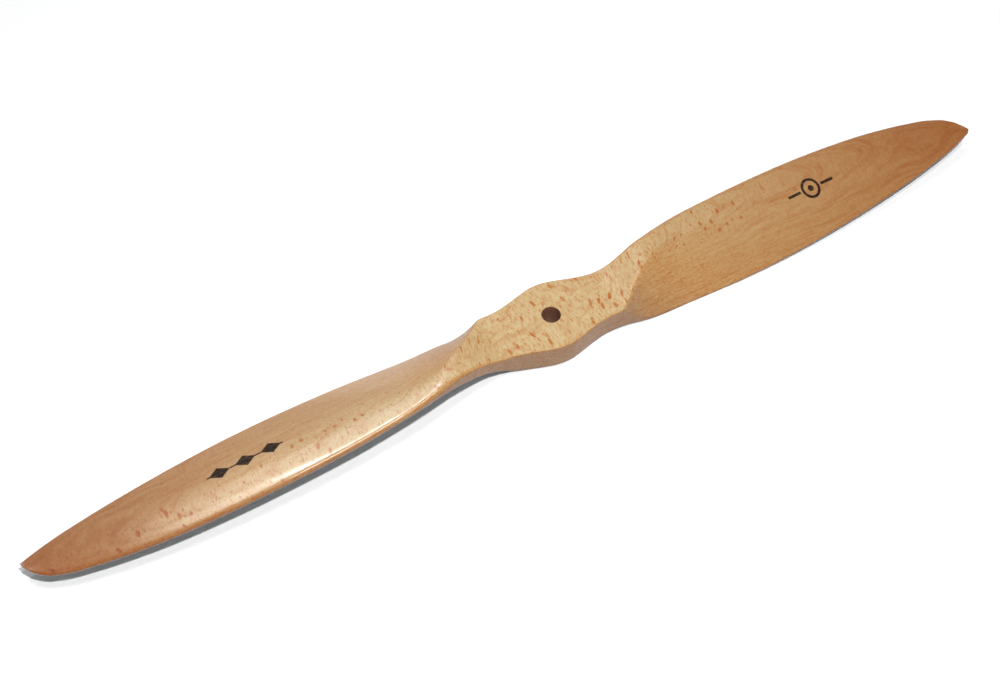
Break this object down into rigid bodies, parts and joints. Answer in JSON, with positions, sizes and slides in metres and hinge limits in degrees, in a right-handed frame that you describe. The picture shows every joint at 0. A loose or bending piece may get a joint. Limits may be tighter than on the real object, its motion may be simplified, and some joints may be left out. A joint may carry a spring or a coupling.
{
  "type": "model aircraft propeller",
  "caption": "Two-bladed carved wooden propeller for a model aircraft, with a plain bore through a flat-faced hub.",
  "frame": {"origin": "centre of the bore on the hub's flat back face", "axes": "+Z along the bore towards the cambered front, which is the side the thrust goes to; +X along one blade; the blades turn anticlockwise seen from +Z"},
  "size_m": [0.4826, 0.043, 0.0202],
  "materials": {
    "lacquered_beech": "satin clear lacquer over beech"
  },
  "bodies": {
    "root": {"propeller": "lacquered_beech"}
  },
  "joints": []
}
